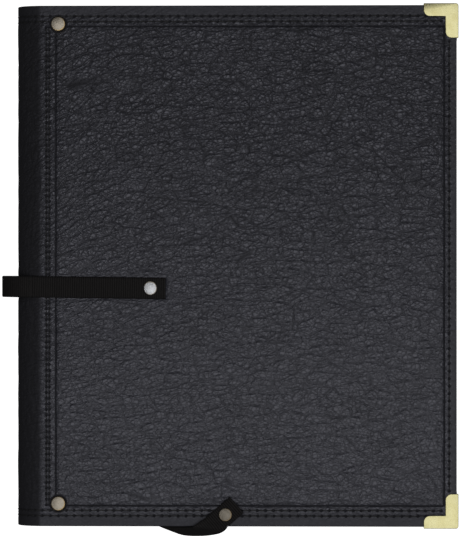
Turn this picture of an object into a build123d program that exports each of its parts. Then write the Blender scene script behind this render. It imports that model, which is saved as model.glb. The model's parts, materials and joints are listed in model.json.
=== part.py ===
from build123d import *

import os
from math import atan2, cos, degrees, hypot, pi, radians, sin, sqrt, tan

# Scrapbook album: a stitched leather ring binder with brass corners, a hand strap and a closing strap.
# It lies closed on its back cover. X runs from the spine to the fore-edge, Y to the head of the cover,
# Z up. The origin is the middle of the underside of the album's bounding box.

FRONT, BACK = 1, -1
LEFT, RIGHT = -1, 1

# Covers
cover_width = 258.0  # outer face of the spine to the leather's fore-edge
cover_height = 305.0
album_thickness = 28.4  # back leather to front leather
leather = 1.2
board = 2.0
lining = 0.7
pocket = 0.7
lining_inset = 1.0  # leather left showing round the lining
cover_corner_radius = 3.0
board_from_spine = 23.7
board_width = 226.7
board_height = 280.0
board_clip = 9.0  # corners cut off beside the hinge rivets
pocket_height = 115.0
pocket_margin = 2.0

# Brass corners
corner_leg = 20.3
corner_band = 7.6
corner_lip = 1.0  # brass standing out past the leather's edge
corner_brass = 0.6
corner_leg_radius = 3.6
corner_outer_radius = 1.5

# Webbing straps
webbing = 1.1
webbing_width = 12.5
hand_strap_end = 87.8  # from the spine's outer face
hand_strap_rivet_at = 78.9
hand_strap_y = -12.7  # from the middle of the cover
hand_strap_reach = 9.4  # how far the loop stands out from the spine
hand_strap_lands = 9.0  # where the loop meets the covers, from the spine's outer face
closing_snap_at = (122.8, -145.4)  # from the spine's outer face and the middle of the cover
closing_strap_angle = 41.0  # from the bottom edge
closing_loop_angle = 47.0  # steeper round the edge, where the webbing skews
closing_strap_tail = 8.8  # snap to the strap's end
closing_strap_reach = 5.4  # how far the loop stands out from the bottom edge
snap_height = 1.25  # strap held off the leather by the snap
closing_hinge_gap = 0.3  # between the strap's two halves at the bottom of its loop

# Rivets and snap
cap_height = 0.9
inner_cap_height = 0.5
hinge_cap_radius = 4.2
strap_cap_radius = 3.9
inner_cap_radius = 3.5
post_radius = 1.45
post_hole_radius = 1.5
hinge_rivet_from_spine = 24.8
hinge_rivet_ys = (141.8, -139.2)
stud_radius = 1.6
stud_height = 0.9
socket_radius = 3.5
socket_hole_radius = 1.75
socket_hole_depth = 1.0

# Ring mechanism
ring_from_spine = 33.5
ring_radius = 8.0  # to the middle of the wire
wire_radius = 1.15
ring_pitch = 107.95
ring_count = 3
ring_foot = 4.3  # where each half ring stands on its plate, from the middle
ring_gap_deg = 0.7
housing_half_width = 10.0
housing_rise = 4.2
housing_wall = 0.7
housing_length = 260.0
housing_rivet_pitch = 244.0
housing_rivet_radius = 1.8
housing_rivet_head = 3.4
toggle_thickness = 0.6
toggle_half_width = 5.0
toggle_length = 230.0
toggle_drop = 1.8  # plate's top below the housing's crown

# Pages
page_count = 10
page_width = 216.0
page_height = 280.0
page_edge = 0.8  # at the holes
page_body = 1.5  # protector, cards and pictures
page_edge_pitch = 1.05
page_hole = (9.0, 5.0)
page_hole_margin = 6.1
page_ramp = (14.0, 40.0)  # from the ring's middle
page_top_gap = 0.3  # under the front pocket

# Heights
back_out = webbing + cap_height  # the album stands on its strap rivets
back_in = back_out + leather + board + lining
front_out = back_out + album_thickness
front_in = front_out - leather - board - lining
mid_z = (back_out + front_out) / 2
soft = leather + lining  # the sewn edge and the spine have no board

# Frame: the straps and the brass corners reach furthest out
spine_x = -(cover_width + corner_lip - hand_strap_reach) / 2
mid_y = (closing_strap_reach - corner_lip) / 2
fore_x = spine_x + cover_width
ring_x = spine_x + ring_from_spine
ring_ys = [mid_y + ring_pitch * (i - 1) for i in range(ring_count)]

# Soft spine: three strips between the covers, on four fold lines, which make half an octagon
strip_length = (album_thickness - soft) / (1 + sqrt(2))
strip_gap = soft / 2 * tan(radians(22.5)) + 0.15
fold_x = [spine_x + soft / 2 + d * strip_length / sqrt(2) for d in (1, 0, 0, 1)]
fold_z = [
    back_out + soft / 2,
    mid_z - strip_length / 2,
    mid_z + strip_length / 2,
    front_out - soft / 2,
]
cover_start = fold_x[0] + strip_gap


def level(side, depth):
    """Height of the plane that lies depth inside the outer face of a cover."""
    return front_out - depth if side == FRONT else back_out + depth


def layer(side, outer, inner):
    """The plane at the underside of a layer between two depths of a cover, and the layer's thickness."""
    return Plane.XY.offset(min(level(side, outer), level(side, inner))), inner - outer


def across(y):
    """A plane across the album, square to Y, with local x along X and local y along Z."""
    return Plane(origin=(0, y, 0), x_dir=(1, 0, 0), z_dir=(0, -1, 0))


# Where each fastener goes through a cover
hinge_rivets = [(spine_x + hinge_rivet_from_spine, mid_y + y) for y in hinge_rivet_ys]
hand_rivet = (spine_x + hand_strap_rivet_at, mid_y + hand_strap_y)
snap_at = (spine_x + closing_snap_at[0], mid_y + closing_snap_at[1])
housing_rivets = [(ring_x, mid_y + s * housing_rivet_pitch / 2) for s in (-1, 1)]


# ---- closing strap's loop: half an ellipse round the bottom edge, which the strap winds round at an angle
loop_y = mid_y - cover_height / 2
loop_half_y = closing_strap_reach - webbing / 2
loop_top = front_out + snap_height + webbing / 2
loop_bottom = back_out - webbing / 2
loop_mid_z = (loop_top + loop_bottom) / 2
loop_half_z = (loop_top - loop_bottom) / 2
loop_steps = 12
lean = 1 / tan(radians(closing_strap_angle))  # sideways run for each millimetre of wrap
loop_lean = 1 / tan(radians(closing_loop_angle))
webbing_span = webbing_width / sin(radians(closing_strap_angle))  # width of the strap along X


def loop_stations():
    """Centre and heading of the closing strap at even angles round its loop, from the front cover to the back."""
    found = []
    flat = snap_at[1] - loop_y
    x = snap_at[0] - lean * flat
    before = None
    for i in range(2 * loop_steps + 1):
        turn = pi * i / (2 * loop_steps)
        y = loop_y - loop_half_y * sin(turn)
        z = loop_mid_z + loop_half_z * cos(turn)
        if before:
            x -= loop_lean * hypot(y - before[0], z - before[1])
        before = (y, z)
        heading = (0, -loop_half_y * cos(turn), -loop_half_z * sin(turn))
        found.append(((x, y, z), heading))
    return found


stations = loop_stations()
back_landing = stations[-1][0]
closing_rivet = (back_landing[0] - lean * (snap_at[1] - loop_y), snap_at[1])
closing_hinge = (stations[loop_steps][0][0], loop_y - loop_half_y - webbing / 2, loop_mid_z)


# ---- covers


def cover_outline(inset):
    """Outline of a cover, its fore-edge corners rounded, drawn in the current sketch."""
    width = fore_x - inset - cover_start
    height = cover_height - 2 * inset
    with Locations((cover_start + width / 2, mid_y)):
        Rectangle(width, height)
    fillet(vertices().group_by(Axis.X)[-1], cover_corner_radius)


def board_outline(grow):
    """Outline of the stiffening board, its hinge-side corners clipped, grown all round."""
    width = board_width + 2 * grow
    height = board_height + 2 * grow
    with Locations((spine_x + board_from_spine + board_width / 2, mid_y)):
        Rectangle(width, height)
    chamfer(vertices().group_by(Axis.X)[0], board_clip)


def edge_holes(side):
    """Centres of the holes through the sewn edge of a cover, clear of the board."""
    return hinge_rivets + [snap_at if side == FRONT else closing_rivet]


def cover_leather(side):
    """Outer leather of one cover."""
    plane, thickness = layer(side, 0, leather)
    with BuildPart() as made:
        with BuildSketch(plane):
            cover_outline(0)
            with Locations(*edge_holes(side), hand_rivet):
                Circle(post_hole_radius, mode=Mode.SUBTRACT)
        extrude(amount=thickness)
    return made


def cover_board(side):
    """Stiff board inside one cover."""
    plane, thickness = layer(side, leather, leather + board)
    with BuildPart() as made:
        with BuildSketch(plane):
            board_outline(0)
            with Locations(hand_rivet):
                Circle(post_hole_radius, mode=Mode.SUBTRACT)
            if side == BACK:
                with Locations(*housing_rivets):
                    Circle(housing_rivet_radius + 0.05, mode=Mode.SUBTRACT)
        extrude(amount=thickness)
    return made


def cover_lining(side):
    """Lining of one cover: a tray over the board with a flange sewn to the leather."""
    inner = leather + board + lining
    with BuildPart() as made:
        plane, thickness = layer(side, leather, soft)
        with BuildSketch(plane):
            cover_outline(lining_inset)
        extrude(amount=thickness)
        plane, thickness = layer(side, leather, inner)
        with BuildSketch(plane):
            board_outline(lining)
        extrude(amount=thickness)
        plane, thickness = layer(side, leather, leather + board)
        with BuildSketch(plane):
            board_outline(0)
        extrude(amount=thickness, mode=Mode.SUBTRACT)
        plane, thickness = layer(side, leather, inner)
        with BuildSketch(plane):
            with Locations(*edge_holes(side), hand_rivet):
                Circle(post_hole_radius)
            if side == BACK:
                with Locations(*housing_rivets):
                    Circle(housing_rivet_radius + 0.05)
        extrude(amount=thickness, mode=Mode.SUBTRACT)
    return made


def front_pocket():
    """Document pocket on the lower half of the front lining, open towards the head."""
    inner = leather + board + lining
    plane, thickness = layer(FRONT, inner, inner + pocket)
    width = board_width - 2 * pocket_margin
    low_y = mid_y - board_height / 2 + pocket_margin
    with BuildPart() as made:
        with BuildSketch(plane):
            with Locations((spine_x + board_from_spine + board_width / 2, low_y + pocket_height / 2)):
                Rectangle(width, pocket_height)
            chamfer(vertices().group_by(Axis.Y)[0].sort_by(Axis.X)[0], board_clip)
        extrude(amount=thickness)
    return made


def brass_corner(side, end):
    """Folded brass corner over the fore-edge corner of a cover: end is 1 at the head, -1 at the tail."""
    tip_x = fore_x + corner_lip
    tip_y = mid_y + end * (cover_height / 2 + corner_lip)
    plane, thickness = layer(side, -corner_brass, soft + corner_brass)
    sewn_plane, sewn_thickness = layer(side, 0, soft)
    with BuildPart() as made:
        with BuildSketch(plane):
            with BuildLine():
                Polyline(
                    (tip_x, tip_y),
                    (tip_x - corner_leg, tip_y),
                    (tip_x - corner_leg, tip_y - end * corner_band),
                    (tip_x - corner_band, tip_y - end * corner_band),
                    (tip_x - corner_band, tip_y - end * corner_leg),
                    (tip_x, tip_y - end * corner_leg),
                    close=True,
                )
            make_face()
            fillet(vertices().sort_by_distance((tip_x, tip_y, 0))[0], corner_outer_radius)
            for dx, dy in ((corner_leg, corner_band), (corner_band, corner_leg)):
                leg_end = (tip_x - dx, tip_y - end * dy, 0)
                fillet(vertices().sort_by_distance(leg_end)[0], corner_leg_radius)
        extrude(amount=thickness)
        with BuildSketch(sewn_plane):
            with Locations((fore_x - cover_width / 2, mid_y)):
                Rectangle(cover_width, cover_height)
        extrude(amount=sewn_thickness, mode=Mode.SUBTRACT)
    return made


def spine_strip(index):
    """One strip of the soft spine, between fold line index and the next."""
    x0, z0, x1, z1 = fold_x[index], fold_z[index], fold_x[index + 1], fold_z[index + 1]
    along = Vector(x1 - x0, 0, z1 - z0)
    plane = Plane(origin=((x0 + x1) / 2, mid_y, (z0 + z1) / 2), x_dir=along, z_dir=(0, -1, 0))
    with BuildPart() as made:
        with BuildSketch(plane):
            Rectangle(strip_length - 2 * strip_gap, soft)
        extrude(amount=cover_height / 2, both=True)
    return made


# ---- rivets and snap


def rivet_set(side, points, outer_depth, inner_depth, cap_radius):
    """Set rivets through a cover: a rounded cap outside, a post, and a flat cap inside."""
    outer = level(side, outer_depth)
    inner = level(side, inner_depth)
    with BuildPart() as made:
        for x, y in points:
            with Locations((x, y, outer + side * cap_height / 2)):
                Cylinder(cap_radius, cap_height)
            with Locations((x, y, (outer + inner) / 2)):
                Cylinder(post_radius, abs(outer - inner))
            with Locations((x, y, inner - side * inner_cap_height / 2)):
                Cylinder(inner_cap_radius, inner_cap_height)
        rims = [
            e
            for e in made.edges().filter_by(GeomType.CIRCLE)
            if abs(e.center().Z - (outer + side * cap_height)) < 0.01
        ]
        fillet(rims, cap_height * 0.6)
    return made


def snap_cap():
    """Cap, post and socket of the snap, set through the closing strap's end."""
    under = front_out + snap_height
    over = under + webbing
    x, y = snap_at
    with BuildPart() as made:
        with Locations((x, y, over + cap_height / 2)):
            Cylinder(strap_cap_radius, cap_height)
        fillet(made.edges().filter_by(GeomType.CIRCLE).sort_by(Axis.Z)[-1], cap_height * 0.6)
        with Locations((x, y, (under + over) / 2)):
            Cylinder(post_radius, webbing)
        with Locations((x, y, under - (snap_height - 0.05) / 2)):
            Cylinder(socket_radius, snap_height - 0.05)
        with Locations((x, y, front_out + 0.05 + socket_hole_depth / 2)):
            Cylinder(socket_hole_radius, socket_hole_depth, mode=Mode.SUBTRACT)
    return made


def snap_stud():
    """Stud of the snap, set through the front cover's sewn edge."""
    inner = level(FRONT, soft)
    x, y = snap_at
    with BuildPart() as made:
        with Locations((x, y, front_out + stud_height / 2)):
            Cylinder(stud_radius, stud_height)
        fillet(made.edges().filter_by(GeomType.CIRCLE).sort_by(Axis.Z)[-1], stud_height * 0.4)
        with Locations((x, y, (front_out + inner) / 2)):
            Cylinder(post_radius, soft)
        with Locations((x, y, inner - inner_cap_height / 2)):
            Cylinder(inner_cap_radius, inner_cap_height)
    return made


# ---- straps


def hand_strap_end_piece(side):
    """Flat end of the hand strap on a cover, from the spine to past its rivet."""
    start = spine_x + hand_strap_lands + 0.3
    end = spine_x + hand_strap_end
    plane, thickness = layer(side, -webbing, 0)
    with BuildPart() as made:
        with BuildSketch(plane):
            with Locations(((start + end) / 2, mid_y + hand_strap_y)):
                Rectangle(end - start, webbing_width)
            with Locations(hand_rivet):
                Circle(post_hole_radius, mode=Mode.SUBTRACT)
        extrude(amount=thickness)
    return made


def hand_strap_loop():
    """Slack of the hand strap, half an ellipse round the spine."""
    reach = hand_strap_lands + hand_strap_reach - webbing / 2
    rise = (album_thickness + webbing) / 2
    centre = (spine_x + hand_strap_lands, mid_z)
    with BuildPart() as made:
        with BuildSketch(across(mid_y + hand_strap_y)):
            with Locations(centre):
                Ellipse(reach + webbing / 2, rise + webbing / 2)
                Ellipse(reach - webbing / 2, rise - webbing / 2, mode=Mode.SUBTRACT)
            with Locations((centre[0] - reach, mid_z)):
                Rectangle(2 * reach, 4 * rise, mode=Mode.INTERSECT)
        extrude(amount=webbing_width / 2, both=True)
    return made


def strap_flat(landing, side):
    """Corners of the closing strap's flat end, from where its loop lands to its square-cut end."""
    angle = radians(closing_strap_angle)
    heading = Vector(side * cos(angle), sin(angle))
    sideways = Vector(side * sin(angle), -cos(angle))
    length = (snap_at[1] - loop_y) / sin(angle) + closing_strap_tail
    foot = Vector(landing[0], landing[1])
    end = foot + heading * length
    return [
        foot - Vector(side * webbing_span / 2, 0),
        foot + Vector(side * webbing_span / 2, 0),
        end + sideways * (webbing_width / 2),
        end - sideways * (webbing_width / 2),
    ]


def closing_strap(side):
    """Half of the closing strap: its front, moving half, or its back half, which is riveted down."""
    half = stations[: loop_steps + 1] if side == FRONT else stations[loop_steps:]
    landing, hole = (half[0][0], snap_at) if side == FRONT else (half[-1][0], closing_rivet)
    with BuildPart() as made:
        for point, heading in half:
            with BuildSketch(Plane(origin=point, x_dir=(1, 0, 0), z_dir=heading)):
                Rectangle(webbing_span, webbing)
        loft(ruled=True)
        with BuildSketch(Plane.XY.offset(landing[2] - webbing / 2)):
            with BuildLine():
                Polyline(*strap_flat(landing, side), close=True)
            make_face()
        extrude(amount=webbing)
        with Locations((*hole, landing[2])):
            Cylinder(post_hole_radius, 2 * webbing, mode=Mode.SUBTRACT)
        with Locations(closing_hinge):
            Box(2 * webbing_span, 4 * webbing, closing_hinge_gap, mode=Mode.SUBTRACT)
    return made


# ---- ring mechanism


def ring_housing():
    """Arched steel cover of the ring mechanism, slotted for the rings."""
    radius = (housing_half_width**2 + housing_rise**2) / (2 * housing_rise)
    crown = back_in + housing_rise
    slot_length = housing_half_width - 1.4
    with BuildPart() as made:
        with BuildSketch(across(mid_y)):
            with Locations((ring_x, crown - radius)):
                Circle(radius)
                Circle(radius - housing_wall, mode=Mode.SUBTRACT)
            with Locations((ring_x, back_in + housing_rise)):
                Rectangle(3 * housing_half_width, 2 * housing_rise, mode=Mode.INTERSECT)
        extrude(amount=housing_length / 2, both=True)
        for side in (LEFT, RIGHT):
            with Locations(*[(ring_x + side * (1.2 + slot_length / 2), y, crown) for y in ring_ys]):
                Box(slot_length, 3.6, 2 * housing_rise - 1.0, mode=Mode.SUBTRACT)
        with Locations(*[(x, y, crown) for x, y in housing_rivets]):
            Cylinder(housing_rivet_radius + 0.05, 2 * housing_rise, mode=Mode.SUBTRACT)
    return made


def housing_rivet_set():
    """Two flat-headed rivets that hold the housing to the back board."""
    crown = back_in + housing_rise
    foot = back_out + leather
    head = 0.5
    with BuildPart() as made:
        for x, y in housing_rivets:
            with Locations((x, y, (foot + crown) / 2)):
                Cylinder(housing_rivet_radius, crown - foot)
            with Locations((x, y, crown + head / 2)):
                Cylinder(housing_rivet_head, head)
    return made


toggle_top = back_in + housing_rise - toggle_drop
toggle_hinge_z = toggle_top - toggle_thickness / 2


def toggle_plate(side):
    """Long plate inside the housing that carries the half rings of one side."""
    inner_edge = 0.15
    width = toggle_half_width - inner_edge
    with BuildPart() as made:
        with Locations((ring_x + side * (inner_edge + width / 2), mid_y, toggle_hinge_z)):
            Box(width, toggle_length, toggle_thickness)
    return made


def half_rings(side):
    """The three half rings of one side."""
    dip = sqrt(ring_radius**2 - ring_foot**2)
    below = degrees(atan2(dip, ring_foot))
    with BuildPart() as made:
        for y in ring_ys:
            plane = Plane(origin=(ring_x, y, mid_z), x_dir=(side, 0, 0), z_dir=(0, -side, 0))
            with BuildLine(plane) as path:
                wire = CenterArc((0, 0), ring_radius, -below, below + 90 - ring_gap_deg)
            with BuildSketch(Plane(origin=wire @ 0, z_dir=wire % 0)):
                Circle(wire_radius)
            sweep(path=path.line)
            foot = mid_z - dip
            with Locations((ring_x + side * ring_foot, y, toggle_top)):
                Cylinder(wire_radius, foot - toggle_top + 0.4, align=(Align.CENTER, Align.CENTER, Align.MIN))
    return made


# ---- pages


def page(index):
    """One page: a protector with its cards, thin at the ring holes, and 0 is the top one."""
    edge_dz = page_edge_pitch * ((page_count - 1) / 2 - index)
    hole_x = ring_x + sqrt(ring_radius**2 - edge_dz**2)
    edge_z = mid_z + edge_dz
    top = front_in - pocket - page_top_gap - page_body / 2
    bottom = back_in + inner_cap_height + page_top_gap + page_body / 2 - 0.1
    body_z = top + (bottom - top) * index / (page_count - 1)
    start = hole_x - page_hole_margin
    ramp_start, ramp_end = (ring_x + d for d in page_ramp)
    end = start + page_width
    with BuildPart() as made:
        with BuildSketch(across(mid_y)):
            with BuildLine():
                Polyline(
                    (start, edge_z - page_edge / 2),
                    (ramp_start, edge_z - page_edge / 2),
                    (ramp_end, body_z - page_body / 2),
                    (end, body_z - page_body / 2),
                    (end, body_z + page_body / 2),
                    (ramp_end, body_z + page_body / 2),
                    (ramp_start, edge_z + page_edge / 2),
                    (start, edge_z + page_edge / 2),
                    close=True,
                )
            make_face()
        extrude(amount=page_height / 2, both=True)
        with BuildSketch(Plane.XY.offset(back_in)):
            with Locations(*[(hole_x, y) for y in ring_ys]):
                SlotOverall(*page_hole)
        extrude(amount=front_in - back_in, mode=Mode.SUBTRACT)
    return made


# ---- the album

inner_depth = leather + board + lining
strips = ("spine_lower_strip", "spine_middle_strip", "spine_upper_strip")

album = {
    "front_leather": cover_leather(FRONT),
    "front_board": cover_board(FRONT),
    "front_lining": cover_lining(FRONT),
    "front_pocket": front_pocket(),
    "front_corner_head": brass_corner(FRONT, 1),
    "front_corner_tail": brass_corner(FRONT, -1),
    "front_hinge_rivets": rivet_set(FRONT, hinge_rivets, 0, soft, hinge_cap_radius),
    "back_leather": cover_leather(BACK),
    "back_board": cover_board(BACK),
    "back_lining": cover_lining(BACK),
    "back_corner_head": brass_corner(BACK, 1),
    "back_corner_tail": brass_corner(BACK, -1),
    "back_hinge_rivets": rivet_set(BACK, hinge_rivets, 0, soft, hinge_cap_radius),
    "hand_strap_front_end": hand_strap_end_piece(FRONT),
    "hand_strap_loop": hand_strap_loop(),
    "hand_strap_back_end": hand_strap_end_piece(BACK),
    "hand_strap_front_rivet": rivet_set(FRONT, [hand_rivet], -webbing, inner_depth, strap_cap_radius),
    "hand_strap_back_rivet": rivet_set(BACK, [hand_rivet], -webbing, inner_depth, strap_cap_radius),
    "closing_strap_tail": closing_strap(FRONT),
    "closing_strap_base": closing_strap(BACK),
    "closing_strap_rivet": rivet_set(BACK, [closing_rivet], -webbing, soft, strap_cap_radius),
    "snap_cap": snap_cap(),
    "snap_stud": snap_stud(),
    "ring_housing": ring_housing(),
    "housing_rivets": housing_rivet_set(),
    "toggle_plate_left": toggle_plate(LEFT),
    "toggle_plate_right": toggle_plate(RIGHT),
    "rings_left": half_rings(LEFT),
    "rings_right": half_rings(RIGHT),
}
for number, name in enumerate(strips):
    album[name] = spine_strip(number)
for number in range(page_count):
    album[f"page_{number + 1:02d}"] = page(number)

os.makedirs("parts", exist_ok=True)
for name, made in album.items():
    made.part.label = name
    export_step(made.part, f"parts/{name}.step")
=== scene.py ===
import json
from math import cos, pi, radians, sin, sqrt

import bmesh
import bpy
import numpy as np
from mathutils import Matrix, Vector

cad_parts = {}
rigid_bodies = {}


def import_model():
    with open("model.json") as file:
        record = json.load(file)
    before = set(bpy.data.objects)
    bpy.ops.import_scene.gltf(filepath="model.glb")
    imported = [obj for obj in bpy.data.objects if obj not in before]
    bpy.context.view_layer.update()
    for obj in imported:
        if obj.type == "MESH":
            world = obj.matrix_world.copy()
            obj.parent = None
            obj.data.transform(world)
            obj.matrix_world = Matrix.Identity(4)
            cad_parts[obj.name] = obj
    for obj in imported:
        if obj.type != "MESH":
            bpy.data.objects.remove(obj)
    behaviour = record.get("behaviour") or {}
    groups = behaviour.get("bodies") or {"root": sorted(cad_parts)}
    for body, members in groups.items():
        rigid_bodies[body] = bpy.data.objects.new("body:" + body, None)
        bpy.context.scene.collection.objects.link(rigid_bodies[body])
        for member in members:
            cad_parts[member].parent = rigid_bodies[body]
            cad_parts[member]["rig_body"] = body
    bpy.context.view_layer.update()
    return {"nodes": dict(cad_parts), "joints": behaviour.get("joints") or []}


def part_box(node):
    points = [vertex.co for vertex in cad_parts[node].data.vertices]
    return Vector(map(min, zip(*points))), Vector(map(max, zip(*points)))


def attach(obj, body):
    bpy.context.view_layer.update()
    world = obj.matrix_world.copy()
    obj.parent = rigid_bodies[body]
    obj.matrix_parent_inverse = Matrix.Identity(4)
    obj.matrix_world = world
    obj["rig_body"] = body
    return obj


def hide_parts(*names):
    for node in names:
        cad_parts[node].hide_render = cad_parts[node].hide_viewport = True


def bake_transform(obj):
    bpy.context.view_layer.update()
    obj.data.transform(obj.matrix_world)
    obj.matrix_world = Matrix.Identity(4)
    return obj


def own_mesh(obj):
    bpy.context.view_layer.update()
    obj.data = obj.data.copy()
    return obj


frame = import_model()

mm = 0.001  # lengths are in metres where nothing says millimetres

# ---- places, from the frame

front_lo, front_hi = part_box("front_leather")
spine_lo, spine_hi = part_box("spine_middle_strip")
front_z = front_hi.z  # outer face of the front cover
back_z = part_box("back_leather")[0].z  # outer face of the back cover
mid_z = (front_z + back_z) / 2
spine_x = spine_lo.x  # outer face of the spine
fore_x = front_hi.x
mid_y = (front_lo.y + front_hi.y) / 2
half_y = (front_hi.y - front_lo.y) / 2
board_lo, board_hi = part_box("front_board")
leather_thick = front_hi.z - front_lo.z
soft_thick = spine_hi.x - spine_lo.x
hinge_lo, hinge_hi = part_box("front_hinge_rivets")
hand_lo, hand_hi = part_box("hand_strap_front_end")
hand_cap_lo, hand_cap_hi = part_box("hand_strap_front_rivet")
snap_lo, snap_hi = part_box("snap_cap")
base_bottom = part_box("closing_strap_base")[0].z
tail_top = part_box("closing_strap_tail")[1].z
base_cap_lo, base_cap_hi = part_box("closing_strap_rivet")
webbing = hand_hi.z - hand_lo.z
webbing_width = hand_hi.y - hand_lo.y
hinge_cap_radius = 4.2 * mm
strap_cap_radius = 3.9 * mm


def joint_place(name):
    """Where a joint's axis passes, as a vector."""
    return Vector(next(j for j in frame["joints"] if j["name"] == name)["pos_m"])


# ---- seeded noise on arrays


def lattice(seed):
    """A shuffled table that turns grid corners into repeatable numbers."""
    return np.random.RandomState(seed).permutation(1024)


def corner_number(table, i, j):
    return table[(i + table[j % 1024]) % 1024]


def noise(x, y, seed):
    """Gradient noise, about -0.7 to 0.7, one feature a unit."""
    table = lattice(seed)
    i, j = np.floor(x).astype(int), np.floor(y).astype(int)
    u, v = x - i, y - j
    fade_u, fade_v = u * u * u * (u * (u * 6 - 15) + 10), v * v * v * (v * (v * 6 - 15) + 10)

    def corner(di, dj):
        turn = corner_number(table, i + di, j + dj) * (2 * pi / 1024)
        return np.cos(turn) * (u - di) + np.sin(turn) * (v - dj)

    low = corner(0, 0) * (1 - fade_u) + corner(1, 0) * fade_u
    high = corner(0, 1) * (1 - fade_u) + corner(1, 1) * fade_u
    return low * (1 - fade_v) + high * fade_v


def smooth(low, high, x):
    """0 below low, 1 above high, and a smooth step between."""
    t = np.clip((x - low) / (high - low), 0, 1)
    return t * t * (3 - 2 * t)


# ---- the wrap: the album's outer face as one sheet, by distance s from the middle of the spine

bend_x = 15.0 * mm  # the cover starts to bend this far from the spine's outer face
bend_z = (front_z - back_z) / 2
bend_turns = np.linspace(0, pi / 2, 721)
bend_points = np.stack([bend_x * (1 - np.cos(bend_turns)), bend_z * np.sin(bend_turns)], 1)
bend_lengths = np.concatenate([[0], np.cumsum(np.hypot(*np.diff(bend_points, axis=0).T))])
bend_length = bend_lengths[-1]
s_strip = bend_length / 2  # middle of the sloping strip
s_flat = bend_length + 4 * mm  # where a cover's own leather takes over from the spine's
s_fore = bend_length + fore_x - spine_x - bend_x


def wrap(s):
    """Place and outward direction of the wrap at distances s, front side positive: x, z, nx, nz."""
    a = np.abs(s)
    turn = np.interp(a, bend_lengths, bend_turns)
    x = spine_x + bend_x * (1 - np.cos(turn)) + np.maximum(a - bend_length, 0)
    z = bend_z * np.sin(turn)
    nx, nz = -np.cos(turn) / bend_x, np.sin(turn) / bend_z
    size = np.hypot(nx, nz)
    side = np.sign(s)
    return x, mid_z + side * z, nx / size, side * nz / size


def s_at(x):
    """Distance along the front half of the wrap of a place x beyond the bend."""
    return bend_length + x - spine_x - bend_x


# ---- stitching rows, as (along, start, end, across, pitch); across is the distance from the cover's middle

head_rows = (6.2 * mm, 9.4 * mm)  # from the leather's edge
head_stops = (8.6 * mm, 9.0 * mm)  # where those rows stop short of the fore-edge
fore_row = 4.4 * mm
fore_stop = 21 * mm  # from the head and the tail, clear of the brass corners
hinge_stop = 12.6 * mm
hinge_rows = (17.8 * mm, 19.5 * mm)  # from the spine's outer face
long_pitch = 4.66 * mm
fore_pitch = 4.4 * mm
hinge_pitch = 3.3 * mm


def rows():
    """All the stitching rows of the front half of the wrap."""
    found = []
    for end in (1, -1):
        for inset, short in zip(head_rows, head_stops):
            found.append(("s", 0.0, s_fore - short, end * (half_y - inset), long_pitch))
    reach = half_y - fore_stop
    found.append(("y", -reach, reach, s_fore - fore_row, fore_pitch))
    reach = half_y - hinge_stop
    for inset in hinge_rows:
        found.append(("y", -reach, reach, s_at(spine_x + inset), hinge_pitch))
    return found


def row_step(start, stop, pitch):
    """Distance between the needle holes of a row, so that a whole number of stitches fits."""
    return (stop - start) / max(1, round((stop - start) / pitch))


seam_depth = 0.20 * mm
seam_half_width = 1.0 * mm
seam_fade = 2 * mm  # length over which a valley ends


def seam_relief(s, y):
    """Shallow valley along each seam."""
    deep = np.zeros(s.shape)
    for along, start, stop, across, _ in rows():
        u, v = (s, y) if along == "s" else (y, s)
        near = smooth(start - seam_fade, start, u) * (1 - smooth(stop, stop + seam_fade, u))
        off = (v - across) / seam_half_width
        deep += seam_depth * np.exp(-off * off) * near
    return deep


# ---- relief of the leather


def press(distances):
    """How far each point is pressed flat by a strap or cap, from its distances to them in millimetres:
    1 under one of them, 0 clear of them all."""
    return 1 - smooth(-0.2, 1.8, np.minimum.reduce(distances))


def box_distance(u, v, middle, half, angle=0.0):
    """Distance from a turned rectangle, negative inside."""
    c, k = cos(angle), sin(angle)
    du, dv = u - middle[0], v - middle[1]
    a = np.abs(du * c + dv * k) - half[0]
    b = np.abs(dv * c - du * k) - half[1]
    return np.hypot(np.maximum(a, 0), np.maximum(b, 0)) + np.minimum(np.maximum(a, b), 0)


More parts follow.
